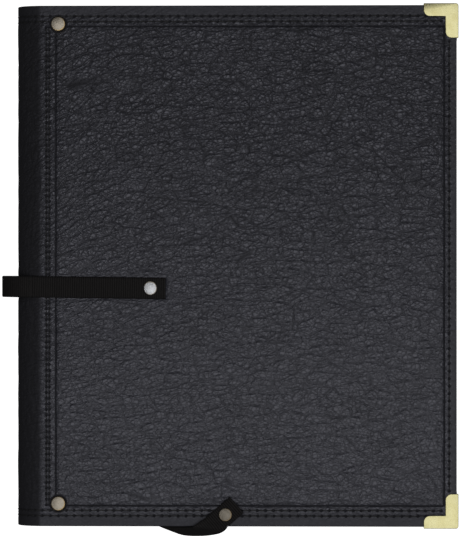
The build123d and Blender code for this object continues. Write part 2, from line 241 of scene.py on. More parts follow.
def leather_relief(s, y, side):
    """Height of the leather's outer face over its sheet, and the fields that its material reads.
    panel is the distance inside the board's outline, gap the distance from the nearest cap, flow the
    distance across the long creases, the shade field the painted shade of the hinge folds and of the spine's
    bend together with the darker margins, and tight how far the leather is free of the seams."""
    seed = 10 if side > 0 else 40
    u, v = s / mm, y / mm
    from_edge = half_y / mm - np.abs(v)
    from_fore = s_fore / mm - u

    # the board panel, its rounded step and the crease round it
    board_mid = (s_at((board_lo.x + board_hi.x) / 2) / mm, 0.0)
    board_half = ((board_hi.x - board_lo.x) / 2 / mm, (board_hi.y - board_lo.y) / 2 / mm)
    inside = -box_distance(u, v, board_mid, board_half)
    inside = inside + 0.25 * noise(u / 14, v / 14, seed + 1)
    hinge_side = smooth(board_mid[0], board_mid[0] - board_half[0] + 20, u)
    step = 0.35 * (smooth(-1.6, 2.2, inside) - 1) * (1 - 0.7 * hinge_side)
    crease = -0.40 * np.exp(-((inside + 0.35) / 0.8) ** 2)
    puff = 0.14 * np.exp(-((inside + 3.4) / 1.5) ** 2)
    outer = smooth(0, 3, from_edge) * smooth(0, 3, from_fore)

    # slow hollows and swells
    swell = 0.26 * noise(u / 34, v / 21, seed + 2) + 0.13 * noise(u / 15, v / 9, seed + 3)

    # distance across the long creases, which fan out from the hinge at the head
    fan = 46.0 * smooth(-150, 60, v) if side > 0 else 20.0
    flow = v + fan * np.exp(-u / 60)

    # creases that run along the hinge, where the leather bends
    fold_u = u + 1.5 * noise(u / 5, v / 16, seed + 15)
    ridge = 1 - np.abs(noise(fold_u / 3.6, v / 17, seed + 16)) * 3.2
    ridge = np.clip(ridge, 0, 1) ** 2
    bend_zone = smooth(27, 20, u) * smooth(-6, 6, from_edge - 14)
    folds_deep = -0.34 * ridge * bend_zone

    # the head and tail margins are pulled tight by the stitching and carry little grain
    tight = smooth(3, 12, from_edge) * smooth(1, 7, from_fore)
    height = step + crease * outer + puff * outer + swell * 0.8 * (0.35 + 0.65 * tight)
    height = height + folds_deep - seam_relief(s, y) / mm
    # painted shade: the leather is darkened over the spine's bend, where it turns away from the light, and
    # along the hinge folds; the head, tail and fore-edge margins are darker as well
    bent = 0.80 * smooth(bend_length / mm + 1.5, bend_length / mm - 2.5, u)
    painted_shade_and_dark_margins = np.maximum(np.maximum(0.5 * ridge * bend_zone, bent), 0.42 * (1 - tight))

    # straps and rivets press it flat
    hand_y = (hand_lo.y + hand_hi.y) / 2 - mid_y
    hand_end = s_at(hand_hi.x) / mm
    hand = box_distance(u, v, (hand_end / 2, hand_y / mm), (hand_end / 2, webbing_width / 2 / mm))
    caps = []
    for cap_y in (hinge_lo.y + hinge_cap_radius, hinge_hi.y - hinge_cap_radius):
        cap_x = (hinge_lo.x + hinge_hi.x) / 2
        caps.append(np.hypot(u - s_at(cap_x) / mm, v - (cap_y - mid_y) / mm) - hinge_cap_radius / mm)
    centre = (snap_lo + snap_hi) / 2 if side > 0 else (base_cap_lo + base_cap_hi) / 2
    snap = np.hypot(u - s_at(centre.x) / mm, v - (centre.y - mid_y) / mm) - 7.0
    pressed = press((hand, snap, *caps))
    height = height * (1 - pressed) - 0.35 * pressed
    fields = {"sheet_s": side * u, "sheet_y": v, "panel": inside, "gap": np.minimum(*caps),
              "flow": flow, "painted_shade_and_dark_margins": np.clip(painted_shade_and_dark_margins, 0, 1), "tight": tight * (1 - pressed)}
    return np.minimum(height, 0.42) * mm, fields


def spaced(start, stop, step, edges=(0.0, 0.0), dense=()):
    """Grid lines from start to stop about step apart, closer within the dense (start, stop, step) stretches,
    and with the close lines that a rounded edge needs at either end."""
    found = [start]
    while found[-1] < stop - 1e-9:
        here = found[-1]
        gap = step
        for low, high, fine in dense:
            if low - 1e-9 <= here < high:
                gap = fine
        found.append(min(here + gap, stop))
    if len(found) > 2 and found[-1] - found[-2] < step * 0.3:
        del found[-2]
    for end, radius in ((0, edges[0]), (-1, edges[1])):
        if radius:
            extra = [radius * k for k in (0.06, 0.22, 0.5, 1.0)]
            anchor = found[end]
            sign = 1 if end == 0 else -1
            found = [f for f in found if f == anchor or abs(f - anchor) > radius * 1.3]
            found += [anchor + sign * e for e in extra]
            found.sort()
    return np.array(found)


def rounding(distance, radius):
    """How far a rounded edge has dropped at a distance in from it."""
    d = np.clip(radius - distance, 0, radius)
    return radius - np.sqrt(np.maximum(radius * radius - d * d, 0))


def new_object(name, mesh):
    made = bpy.data.objects.new(name, mesh)
    bpy.context.scene.collection.objects.link(made)
    return made


def mesh_object(name, points, faces, attributes=None):
    """A mesh object from points and faces, with a float on each point for each named attribute."""
    mesh = bpy.data.meshes.new(name)
    mesh.from_pydata([tuple(p) for p in points], [], faces)
    for key, values in (attributes or {}).items():
        mesh.attributes.new(key, "FLOAT", "POINT").data.foreach_set("value", np.asarray(values, np.float32))
    bm = bmesh.new()
    bm.from_mesh(mesh)
    bmesh.ops.recalc_face_normals(bm, faces=bm.faces)
    bm.to_mesh(mesh)
    bm.free()
    mesh.polygons.foreach_set("use_smooth", [True] * len(mesh.polygons))
    mesh.set_sharp_from_angle(angle=radians(62))
    return new_object(name, mesh)


def grid_faces(rows_count, columns, offset=0, flip=False):
    faces = []
    for i in range(rows_count - 1):
        for j in range(columns - 1):
            a = offset + i * columns + j
            quad = (a, a + 1, a + columns + 1, a + columns)
            faces.append(quad[::-1] if flip else quad)
    return faces


def rim_indices(rows_count, columns):
    """Indices round the border of a grid, in order."""
    top = list(range(columns))
    right = [i * columns + columns - 1 for i in range(1, rows_count)]
    bottom = [(rows_count - 1) * columns + j for j in range(columns - 2, -1, -1)]
    left = [i * columns for i in range(rows_count - 2, 0, -1)]
    return top + right + bottom + left


edge_radius = 0.55 * mm


def leather_piece(name, s_lines, y_lines, side, thick, flat_inside, round_fore):
    """A closed piece of the wrap between grid lines, with its relief outside."""
    s_grid, y_grid = np.meshgrid(s_lines, y_lines, indexing="ij")
    x, z, nx, nz = wrap(s_grid)
    height, fields = leather_relief(np.abs(s_grid), y_grid, side)
    drop = rounding(half_y - np.abs(y_grid), edge_radius)
    if round_fore:
        drop = np.maximum(drop, rounding(s_fore - np.abs(s_grid), edge_radius))
    height = height - drop
    shape = s_grid.shape
    outer = np.stack([x + nx * height, y_grid + mid_y, z + nz * height], -1).reshape(-1, 3)
    faces = grid_faces(*shape)
    rim = rim_indices(*shape)
    count = len(outer)
    if flat_inside:
        inner = np.stack([x - nx * thick, y_grid + mid_y, z - nz * thick], -1).reshape(-1, 3)[rim]
        faces.append(tuple(range(count + len(rim) - 1, count - 1, -1)))
        inner_rim = list(range(count, count + len(rim)))
        under = rim
    else:
        inner_drop = np.minimum(rounding(half_y - np.abs(y_grid), edge_radius), thick / 2)
        depth = thick - inner_drop
        inner = np.stack([x - nx * depth, y_grid + mid_y, z - nz * depth], -1).reshape(-1, 3)
        faces += grid_faces(*shape, offset=count, flip=True)
        inner_rim = [count + r for r in rim]
        under = list(range(count))
    for k in range(len(rim)):
        n = (k + 1) % len(rim)
        faces.append((rim[n], rim[k], inner_rim[k], inner_rim[n]))
    attributes = {}
    for key, values in fields.items():
        flat = np.asarray(values, float).reshape(-1)
        attributes[key] = np.concatenate([flat, flat[under]])
    return mesh_object(name, np.concatenate([outer, inner]), faces, attributes)


# ---- materials


def new_material(name):
    """A node material with a Principled shader: the material, its node tree and the shader."""
    material = bpy.data.materials.new(name)
    material.use_nodes = True
    return material, material.node_tree, material.node_tree.nodes["Principled BSDF"]


def place_node(tree, scale=(1, 1, 1)):
    """Object coordinates in millimetres, stretched by scale."""
    coordinates = tree.nodes.new("ShaderNodeTexCoord")
    mapping = tree.nodes.new("ShaderNodeMapping")
    mapping.inputs["Scale"].default_value = [k / mm for k in scale]
    tree.links.new(coordinates.outputs["Object"], mapping.inputs["Vector"])
    return mapping.outputs["Vector"]


def noise_node(tree, vector, scale, detail=3.0, rough=0.5):
    node = tree.nodes.new("ShaderNodeTexNoise")
    node.inputs["Scale"].default_value = scale
    node.inputs["Detail"].default_value = detail
    node.inputs["Roughness"].default_value = rough
    tree.links.new(vector, node.inputs["Vector"])
    return node.outputs["Fac"]


def voronoi_node(tree, vector, scale, feature="DISTANCE_TO_EDGE"):
    node = tree.nodes.new("ShaderNodeTexVoronoi")
    node.feature = feature
    node.inputs["Scale"].default_value = scale
    tree.links.new(vector, node.inputs["Vector"])
    return node.outputs["Distance"]


def range_node(tree, value, low, high, to_low, to_high):
    node = tree.nodes.new("ShaderNodeMapRange")
    node.inputs["From Min"].default_value = low
    node.inputs["From Max"].default_value = high
    node.inputs["To Min"].default_value = to_low
    node.inputs["To Max"].default_value = to_high
    tree.links.new(value, node.inputs["Value"])
    return node.outputs["Result"]


def mix_colours(tree, factor, first, second):
    """Blend of two colours, each an RGB triple or a socket, by a socket's factor."""
    node = tree.nodes.new("ShaderNodeMix")
    node.data_type = "RGBA"
    tree.links.new(factor, node.inputs["Factor"])
    for key, colour in (("A", first), ("B", second)):
        socket = [i for i in node.inputs if i.name == key and i.type == "RGBA"][0]
        if isinstance(colour, tuple):
            socket.default_value = (*colour, 1)
        else:
            tree.links.new(colour, socket)
    return [o for o in node.outputs if o.type == "RGBA"][0]


def math_node(tree, kind, first, second):
    node = tree.nodes.new("ShaderNodeMath")
    node.operation = kind
    for socket, value in zip(node.inputs, (first, second)):
        if isinstance(value, (int, float)):
            socket.default_value = value
        else:
            tree.links.new(value, socket)
    return node.outputs[0]


def bump_node(tree, height, distance, strength=1.0, before=None):
    node = tree.nodes.new("ShaderNodeBump")
    node.inputs["Distance"].default_value = distance
    node.inputs["Strength"].default_value = strength
    tree.links.new(height, node.inputs["Height"])
    if before is not None:
        tree.links.new(before, node.inputs["Normal"])
    return node.outputs["Normal"]


def attribute_node(tree, name):
    node = tree.nodes.new("ShaderNodeAttribute")
    node.attribute_name = name
    return node.outputs["Fac"]


def warped(tree, vector, scale, amount, detail=2.0):
    """A vector pushed about by noise."""
    wobble = tree.nodes.new("ShaderNodeTexNoise")
    wobble.inputs["Scale"].default_value = scale
    wobble.inputs["Detail"].default_value = detail
    tree.links.new(vector, wobble.inputs["Vector"])
    bent = tree.nodes.new("ShaderNodeVectorMath")
    bent.operation = "MULTIPLY_ADD"
    bent.inputs[1].default_value = amount
    tree.links.new(wobble.outputs["Color"], bent.inputs[0])
    tree.links.new(vector, bent.inputs[2])
    return bent.outputs["Vector"]


def stretched(tree, vector, scale):
    node = tree.nodes.new("ShaderNodeMapping")
    node.inputs["Scale"].default_value = scale
    tree.links.new(vector, node.inputs["Vector"])
    return node.outputs["Vector"]


def pair_node(tree, first, second):
    node = tree.nodes.new("ShaderNodeCombineXYZ")
    tree.links.new(first, node.inputs["X"])
    tree.links.new(second, node.inputs["Y"])
    return node.outputs["Vector"]


def needle_holes(tree, along, across, row):
    """1 in each needle hole of a row and 0 away from them, in millimetres along and across the sheet."""
    start, stop, place, pitch = row[1:]
    step = row_step(start, stop, pitch) / mm
    cycle = math_node(tree, "DIVIDE", math_node(tree, "SUBTRACT", along, start / mm), step)
    part = math_node(tree, "SUBTRACT", cycle, math_node(tree, "ROUND", cycle, 0.0))
    off = math_node(tree, "MULTIPLY", part, step)
    aside = math_node(tree, "SUBTRACT", across, abs(place) / mm)
    far = math_node(tree, "ADD", math_node(tree, "MULTIPLY", off, off),
                    math_node(tree, "MULTIPLY", aside, aside))
    hole = range_node(tree, far, 0.10, 0.95, 0.88, 0.0)
    reach = math_node(tree, "ABSOLUTE", along, 0.0)
    return math_node(tree, "MULTIPLY", hole, range_node(tree, reach, stop / mm + 0.5,
                                                                stop / mm + 0.9, 1.0, 0.0))


def leather_material(name, light=(0.0505, 0.052, 0.0685), deep=(0.0018, 0.0015, 0.0013)):
    """Black pebbled leather: bluish on the crowns, with painted shade brown-black in the creases, and fine
    pores.
    """
    material, tree, shader = new_material(name)
    s_place, y_place = attribute_node(tree, "sheet_s"), attribute_node(tree, "sheet_y")
    tight = attribute_node(tree, "tight")
    sheet = pair_node(tree, s_place, y_place)
    stream = pair_node(tree, s_place, attribute_node(tree, "flow"))

    # long wavy creases, which come and go
    long_bent = warped(tree, warped(tree, stream, 0.05, (8.0, 6.0, 0), 1.0),
                       0.20, (2.2, 2.0, 0), 3.0)
    long_cells = voronoi_node(tree, stretched(tree, long_bent, (0.066, 0.163, 1)), 1.0)
    patches = range_node(tree, noise_node(tree, sheet, 0.06, 2), 0.36, 0.56, 0.45, 1.0)
    long_line = range_node(tree, long_cells, 0.0, 0.050, 0.76, 0.0)
    long_line = math_node(tree, "MULTIPLY", long_line, patches)
    long_dome = range_node(tree, long_cells, 0.01, 0.12, 0.0, 1.0)

    # smaller cells between them, and pebbles between those
    mid_bent = warped(tree, stream, 0.34, (1.5, 1.4, 0), 2.0)
    mid_cells = voronoi_node(tree, stretched(tree, mid_bent, (0.20, 0.29, 1)), 1.0)
    mid_patches = range_node(tree, noise_node(tree, sheet, 0.10, 2), 0.36, 0.56, 0.35, 1.0)
    mid_line = range_node(tree, mid_cells, 0.0, 0.085, 0.75, 0.0)
    mid_line = math_node(tree, "MULTIPLY", mid_line, mid_patches)
    mid_dome = range_node(tree, mid_cells, 0.0, 0.20, 0.0, 1.0)
    fine_bent = warped(tree, sheet, 0.9, (0.9, 0.8, 0), 1.0)
    fine_cells = voronoi_node(tree, stretched(tree, fine_bent, (0.40, 0.52, 1)), 1.0)
    fine_dome = range_node(tree, fine_cells, 0.0, 0.22, 0.0, 1.0)
    fine_line = range_node(tree, fine_cells, 0.0, 0.14, 0.60, 0.0)
    pores = noise_node(tree, sheet, 2.6, 3, 0.6)

    # painted shade in the crease round the board and in the needle holes, and a painted shadow ring round
    # each rivet
    panel = math_node(tree, "ADD", attribute_node(tree, "panel"), 0.35)
    panel = math_node(tree, "ABSOLUTE", panel, 0.0)
    panel_line = range_node(tree, panel, 0.05, 0.62, 0.85, 0.0)
    gap = attribute_node(tree, "gap")
    ring = math_node(tree, "MULTIPLY", range_node(tree, gap, 0.3, 1.3, 1.0, 0.0),
                     range_node(tree, gap, -1.5, -1.0, 0.0, 1.0))
    marks = math_node(tree, "MAXIMUM", panel_line, ring)
    s_far = math_node(tree, "ABSOLUTE", s_place, 0.0)
    y_far = math_node(tree, "ABSOLUTE", y_place, 0.0)
    for row in rows():
        if row[0] == "s" and row[3] > 0:
            marks = math_node(tree, "MAXIMUM", marks, needle_holes(tree, s_far, y_far, row))
        if row[0] == "y":
            marks = math_node(tree, "MAXIMUM", marks, needle_holes(tree, y_place, s_far, row))

    # the crease lines darken the colour as painted shade in the grain's valleys
    lines = math_node(tree, "MAXIMUM", long_line, mid_line)
    lines = math_node(tree, "MAXIMUM", lines, fine_line)
    bold = math_node(tree, "MULTIPLY", range_node(tree, tight, 0.0, 1.0, 0.35, 1.0),
                     range_node(tree, y_place, -60.0, 90.0, 0.72, 1.15))
    lines = math_node(tree, "MULTIPLY", lines, bold)
    lines = math_node(tree, "MAXIMUM", lines, marks)
    # painted shade: crease lines, marks, folds and the spine's bend take the colour towards deep, as do the
    # darker margins
    light_left = math_node(tree, "MULTIPLY", math_node(tree, "SUBTRACT", 1.0, lines),
                           math_node(tree, "SUBTRACT", 1.0, attribute_node(tree, "painted_shade_and_dark_margins")))
    total = math_node(tree, "SUBTRACT", 1.0, light_left)
    cloud = noise_node(tree, sheet, 0.03, 4)
    tone = mix_colours(tree, range_node(tree, cloud, 0.35, 0.65, 0, 1),
                       tuple(0.75 * c for c in light), light)
    tree.links.new(mix_colours(tree, total, tone, deep), shader.inputs["Base Color"])
    tree.links.new(range_node(tree, total, 0.0, 1.0, 0.31, 0.95), shader.inputs["Roughness"])
    relief = math_node(tree, "MULTIPLY", long_dome, 0.24)
    relief = math_node(tree, "ADD", relief, math_node(tree, "MULTIPLY", mid_dome, 0.22))
    relief = math_node(tree, "ADD", relief, math_node(tree, "MULTIPLY", fine_dome, 0.12))
    relief = math_node(tree, "MULTIPLY", relief, bold)
    relief = math_node(tree, "SUBTRACT", relief, math_node(tree, "MULTIPLY", marks, 0.5))
    first = bump_node(tree, relief, 1.0 * mm, 1.0)
    second = bump_node(tree, pores, 0.045 * mm, 0.7, first)
    tree.links.new(second, shader.inputs["Normal"])
    shader.inputs["Specular IOR Level"].default_value = 1.0
    shader.inputs["Specular Tint"].default_value = (0.90, 0.90, 1.0, 1)
    return material


def thread_material():
    """Black waxed thread with a fine twist."""
    material, tree, shader = new_material("thread_black")
    place = place_node(tree)
    twist = noise_node(tree, place, 5.0, 2)
    colour = mix_colours(tree, twist, (0.006, 0.006, 0.006), (0.022, 0.022, 0.024))
    tree.links.new(colour, shader.inputs["Base Color"])
    tree.links.new(bump_node(tree, twist, 0.05 * mm), shader.inputs["Normal"])
    shader.inputs["Roughness"].default_value = 0.55
    return material


def webbing_material():
    """Black polyester webbing: dull yarns, a little lint, and a soft sheen, with painted highlight on the
    ribs' crowns and painted shade between the ribs and at the rolled edges.
    """
    material, tree, shader = new_material("webbing_black")
    place = place_node(tree)
    yarn = noise_node(tree, place, 3.0, 3, 0.6)
    lint = noise_node(tree, place, 0.5, 2)
    rib_light_and_shade = attribute_node(tree, "rib_light_and_shade")
    # low is painted shade between the ribs and at the edges, high a painted highlight on the ribs' crowns,
    # varied by lint
    low = mix_colours(tree, yarn, (0.001, 0.001, 0.001), (0.002, 0.002, 0.002))
    high = mix_colours(tree, lint, (0.022, 0.020, 0.020), (0.034, 0.031, 0.031))
    colour = mix_colours(tree, rib_light_and_shade, low, high)
    tree.links.new(colour, shader.inputs["Base Color"])
    tree.links.new(bump_node(tree, yarn, 0.10 * mm), shader.inputs["Normal"])
    shader.inputs["Roughness"].default_value = 0.75
    shader.inputs["Specular IOR Level"].default_value = 0.2
    return material


def metal_material(name, bright, worn, tarnish, rough, dimple=0.0):
    """Plated metal: even plate, worn through to another colour at rims and knocks, with tarnish in clouds."""
    material, tree, shader = new_material(name)
    place = place_node(tree)
    cloud = noise_node(tree, place, 0.22, 4, 0.6)
    fleck = noise_node(tree, place, 2.2, 4, 0.65)
    rim = attribute_node(tree, "rim")
    base = mix_colours(tree, range_node(tree, cloud, 0.35, 0.7, 0, 1), bright, tarnish)
    edge = math_node(tree, "ADD", rim, range_node(tree, fleck, 0.3, 0.7, -0.35, 0.25))
    edge = range_node(tree, edge, 0.45, 0.8, 0.0, 1.0)
    colour = mix_colours(tree, edge, base, worn)
    tree.links.new(colour, shader.inputs["Base Color"])
    shader.inputs["Metallic"].default_value = 1.0
    dulled = range_node(tree, fleck, 0.3, 0.7, rough - 0.06, rough + 0.12)
    tree.links.new(dulled, shader.inputs["Roughness"])
    normal = bump_node(tree, fleck, 0.02 * mm, 0.6)
    if dimple:
        pits = voronoi_node(tree, place, 1.7, "F1")
        normal = bump_node(tree, pits, dimple, 1.0, normal)
    tree.links.new(normal, shader.inputs["Normal"])
    return material


def paper_material(name, light, warm):
    """Uncoated card: short fibres and faint mottling."""
    material, tree, shader = new_material(name)
    place = place_node(tree)
    fibres = noise_node(tree, place_node(tree, (1, 2.4, 6)), 1.6, 4, 0.6)
    mottle = noise_node(tree, place, 0.06, 3)
    colour = mix_colours(tree, range_node(tree, mottle, 0.35, 0.65, 0, 1), light, warm)
    speck = mix_colours(tree, range_node(tree, fibres, 0.62, 0.75, 0, 0.25), colour,
                        tuple(0.6 * c for c in warm))
    tree.links.new(speck, shader.inputs["Base Color"])
    tree.links.new(bump_node(tree, fibres, 0.03 * mm), shader.inputs["Normal"])
    shader.inputs["Roughness"].default_value = 0.75
    return material


def cloth_material(name, light, deep):
    """Book cloth: a fine plain weave."""
    material, tree, shader = new_material(name)
    warp = tree.nodes.new("ShaderNodeTexWave")
    weft = tree.nodes.new("ShaderNodeTexWave")
    place = place_node(tree)
    for node, direction in ((warp, "X"), (weft, "Y")):
        node.bands_direction = direction
        node.inputs["Scale"].default_value = 0.55
        node.inputs["Distortion"].default_value = 0.4
        node.inputs["Detail"].default_value = 1.0
        tree.links.new(place, node.inputs["Vector"])
    weave = math_node(tree, "MULTIPLY", warp.outputs["Fac"], weft.outputs["Fac"])
    colour = mix_colours(tree, weave, deep, light)
    tree.links.new(colour, shader.inputs["Base Color"])
    tree.links.new(bump_node(tree, weave, 0.06 * mm), shader.inputs["Normal"])
    shader.inputs["Roughness"].default_value = 0.8
    return material


leather = leather_material("leather_black")
thread = thread_material()
webbing_black = webbing_material()
nickel_warm = metal_material("nickel_warm", (0.50, 0.45, 0.37), (0.62, 0.44, 0.20), (0.36, 0.32, 0.26),
                             0.34, 0.06 * mm)
nickel_dark = metal_material("nickel_dark", (0.26, 0.235, 0.195), (0.36, 0.27, 0.16), (0.18, 0.16, 0.13),
                             0.36, 0.06 * mm)
nickel_bright = metal_material("nickel_bright", (0.76, 0.775, 0.80), (0.62, 0.56, 0.48), (0.76, 0.78, 0.82),
                               0.34, 0.10 * mm)
brass = metal_material("brass_pale", (0.83, 0.78, 0.43), (0.93, 0.90, 0.66), (0.74, 0.68, 0.34), 0.24)
steel = metal_material("ring_steel", (0.68, 0.68, 0.69), (0.56, 0.55, 0.53), (0.58, 0.58, 0.60), 0.20)
card = paper_material("card_ivory", (0.86, 0.83, 0.75), (0.80, 0.75, 0.64))
board_grey = paper_material("board_grey", (0.36, 0.31, 0.25), (0.30, 0.25, 0.19))
lining_cloth = cloth_material("lining_cloth", (0.040, 0.041, 0.045), (0.010, 0.010, 0.012))
pocket_cloth = cloth_material("pocket_cloth", (0.030, 0.031, 0.035), (0.008, 0.008, 0.010))


def finish_piece(made, material, slot, *nodes):
    """Give a piece its material, and let it stand for CAD nodes. The slot is not used."""
    made.data.materials.clear()
    made.data.materials.append(material)
    if nodes:
        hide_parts(*nodes)
    return made


# ---- leather of the two covers

# close grid lines over the stitching rows at the head and the tail
dense_ends = [(half_y - 11 * mm, half_y - 4.5 * mm, 0.45 * mm),
              (-half_y + 4.5 * mm, -half_y + 11 * mm, 0.45 * mm)]


# and over the rows at the hinge and the fore-edge
dense_sides = [(s_at(spine_x + 15.9 * mm), s_at(spine_x + 19.6 * mm), 0.5 * mm),
               (s_fore - 5.4 * mm, s_fore - 3.4 * mm, 0.5 * mm)]


def cover_skin(side):
    """The leather of one cover, from the hinge to the fore-edge."""
    word = "front" if side > 0 else "back"
    step = 0.92 * mm if side > 0 else 1.3 * mm
    s_lines = side * spaced(s_flat, s_fore, step, (0, edge_radius), dense_sides)
    y_lines = spaced(-half_y, half_y, step, (edge_radius, edge_radius), dense_ends)
    skin = leather_piece(word + "_leather_skin", s_lines, y_lines, side, leather_thick, True, True)
    finish_piece(skin, leather, "leather", word + "_leather")
    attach(skin, word + "_cover")


cover_skin(1)
cover_skin(-1)


# ---- leather of the spine, in four spans round the bend

spine_spans = [
    ("spine_back", -s_flat, -s_strip, "back_cover", "spine_lower", ()),
    ("spine_low", -s_strip, 0.0, "spine_lower", "spine_middle", ("spine_lower_strip",)),
    ("spine_high", 0.0, s_strip, "spine_middle", "spine_upper", ("spine_middle_strip",)),
    ("spine_front", s_strip, s_flat, "spine_upper", "front_cover", ("spine_upper_strip",)),
]


def blend_over(made):
    """Bake a piece's placement into its mesh."""
    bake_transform(made)


for name, start_s, stop_s, start_body, stop_body, nodes in spine_spans:
    s_lines = spaced(start_s, stop_s, 0.55 * mm)
    y_lines = spaced(-half_y, half_y, 0.8 * mm, (edge_radius, edge_radius), dense_ends)
    side = 1 if start_s + stop_s > 0 else -1
    made = leather_piece(name + "_leather", s_lines, y_lines, side, soft_thick, False, False)
    finish_piece(made, leather, "leather", *nodes)
    blend_over(made)


# ---- stitching

thread_radius = 0.34 * mm
thread_sides = 6
thread_steps = 7


def stitch_line(s0, y0, s1, y1, side):
    """Points of one stitch: it rises out of one hole, lies on the leather and sinks into the next."""
    t = np.linspace(0.08, 0.92, thread_steps)
    s, y = s0 + (s1 - s0) * t, y0 + (y1 - y0) * t
    x, z, nx, nz = wrap(side * s)
    lift = (0.30 * np.sin(pi * t) ** 0.6 - 0.42) * mm
    return np.stack([x + nx * lift, y + mid_y, z + nz * lift], 1), np.stack([nx, 0 * nx, nz], 1)


def add_stitch(points, faces, line, normals):
    """Add one closed stitch along a line of points."""
    first = len(points)
    tangent = line[-1] - line[0]
    tangent = tangent / np.linalg.norm(tangent)
    for k, (centre, normal) in enumerate(zip(line, normals)):
        sideways = np.cross(tangent, normal)
        thin = 0.55 if k in (0, len(line) - 1) else 1.0
        for j in range(thread_sides):
            turn = 2 * pi * j / thread_sides
            points.append(centre + thread_radius * thin * (cos(turn) * normal * 0.85 + sin(turn) * sideways))
    for k in range(len(line) - 1):
        for j in range(thread_sides):
            a = first + k * thread_sides + j
            b = first + k * thread_sides + (j + 1) % thread_sides
            faces.append((a, b, b + thread_sides, a + thread_sides))
    faces.append(tuple(first + j for j in range(thread_sides - 1, -1, -1)))
    last = first + (len(line) - 1) * thread_sides
    faces.append(tuple(last + j for j in range(thread_sides)))


def stitches(side, low, high):
    """Points and faces of every stitch whose middle lies between two distances along the wrap."""
    points, faces = [], []
    for along, start, stop, across, pitch in rows():
        step = row_step(start, stop, pitch)
        for k in range(round((stop - start) / step)):
            u0, u1 = start + k * step, start + (k + 1) * step
            middle = (u0 + u1) / 2 if along == "s" else across
            if not low <= middle < high:
                continue
            ends = (u0, across, u1, across) if along == "s" else (across, u0, across, u1)
            add_stitch(points, faces, *stitch_line(*ends, side))
    return points, faces


def cover_stitches(side):
    word = "front" if side > 0 else "back"
    made = mesh_object(word + "_stitching", *stitches(side, s_flat, s_fore))
    finish_piece(made, thread, "webbing")
    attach(made, word + "_cover")


cover_stitches(1)
cover_stitches(-1)
for name, start_s, stop_s, start_body, stop_body, nodes in spine_spans:
    side = 1 if start_s + stop_s > 0 else -1
    low, high = sorted((abs(start_s), abs(stop_s)))
    made = mesh_object(name + "_stitching", *stitches(side, low, high))
    finish_piece(made, thread, "webbing")
    blend_over(made)


# ---- webbing straps

rib_pitch = 1.3 * mm
rib_rise = 0.22 * mm
width_points = 15
spread = np.linspace(-1, 1, width_points)  # places across a strap


def webbing_piece(name, middles, normals, plain_until=0.0):
    """A closed ribbed strap from its middle sheet, with a point and an outward direction for each station and
    place across. Before the distance plain_until the ribs are nearly worn flat."""
    steps = np.linalg.norm(np.diff(middles[:, width_points // 2], axis=0), axis=1)
    travelled = np.concatenate([[0], np.cumsum(steps)])
    half_thick = webbing / 2 - 0.10 * mm
    points, ribs = [], []
    ring = 2 * width_points
    for station, outward, distance in zip(middles, normals, travelled):
        wave = abs(sin(pi * distance / rib_pitch)) ** 0.7
        strong = 1.0 if distance >= plain_until else 0.5
        for face in (1, -1):
            for j in range(width_points)[::face]:
                near = 1 - abs(spread[j])
                edge = sqrt(max(0.0, 1 - abs(spread[j]) ** 9))
                selvedge = 0.10 * mm * np.exp(-((near * webbing_width / 2 - 0.9 * mm) / (0.5 * mm)) ** 2)
                rise = rib_rise * strong * (wave - 0.5) * min(1.0, near * 9)
                lift = (half_thick * (0.35 + 0.65 * edge) + selvedge + rise) * face
                points.append(station[j] + outward[j] * lift)
                # the ribs' crowns are stored lighter as painted highlight, the valleys and the rolled edges
                # darker as painted shade
                ribs.append(wave * (0.35 + 0.65 * edge))
    faces = []
    count = len(middles)
    for i in range(count - 1):
        for j in range(ring):
            a, b = i * ring + j, i * ring + (j + 1) % ring
            faces.append((a, b, b + ring, a + ring))
    faces.append(tuple(range(ring - 1, -1, -1)))
    faces.append(tuple((count - 1) * ring + j for j in range(ring)))
    return mesh_object(name, points, faces, {"rib_light_and_shade": ribs})


def widened(centres, side):
    """The middle sheet of a strap whose width runs in one direction."""
    return centres[:, None, :] + np.outer(spread, side)[None] * webbing_width / 2


def straight_strap(name, start, stop, plain_until, bow):
    """A flat strap between two points of its middle line, raised by bow at each distance."""
    start, stop = np.array(start, float), np.array(stop, float)
    length = np.linalg.norm(stop - start)
    t = np.linspace(0, 1, int(length / (rib_pitch / 6)) + 1)
    centres = start + np.outer(t, stop - start)
    centres[:, 2] += bow(t * length)
    middles = widened(centres, np.cross((0, 0, 1), (stop - start) / length))
    normals = np.zeros(middles.shape)
    normals[..., 2] = 1
    return webbing_piece(name, middles, normals, plain_until)


hand_y = (hand_lo.y + hand_hi.y) / 2
hand_tilt = radians(0.7)
hand_left = hand_lo.x - 3.4 * mm  # where the flat part meets the loop
hand_turn_x = (hand_lo.x + hand_hi.x) / 2
hand_cap = (hand_cap_lo + hand_cap_hi) / 2


def hand_line(x):
    """Middle of the hand strap across its width, which tips slightly towards the tail."""
    return hand_y - (x - hand_turn_x) * sin(hand_tilt)


def hand_end_strap(side):
    word = "front" if side > 0 else "back"
    level = (front_z + webbing / 2) if side > 0 else (back_z - webbing / 2)

    def dip(distance):
        """The strap's start bends towards the middle of the spine, under the loop's end."""
        reach = np.clip(4.4 * mm - distance, 0, None)
        return -side * 0.06 * reach

    made = straight_strap(word + "_hand_strap", (hand_left, hand_line(hand_left), level),
                          (hand_hi.x, hand_line(hand_hi.x), level), plain_until=16 * mm, bow=dip)
    finish_piece(made, webbing_black, "webbing", f"hand_strap_{word}_end")
    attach(made, word + "_cover")


hand_end_strap(1)
hand_end_strap(-1)

loop_lo, loop_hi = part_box("hand_strap_loop")


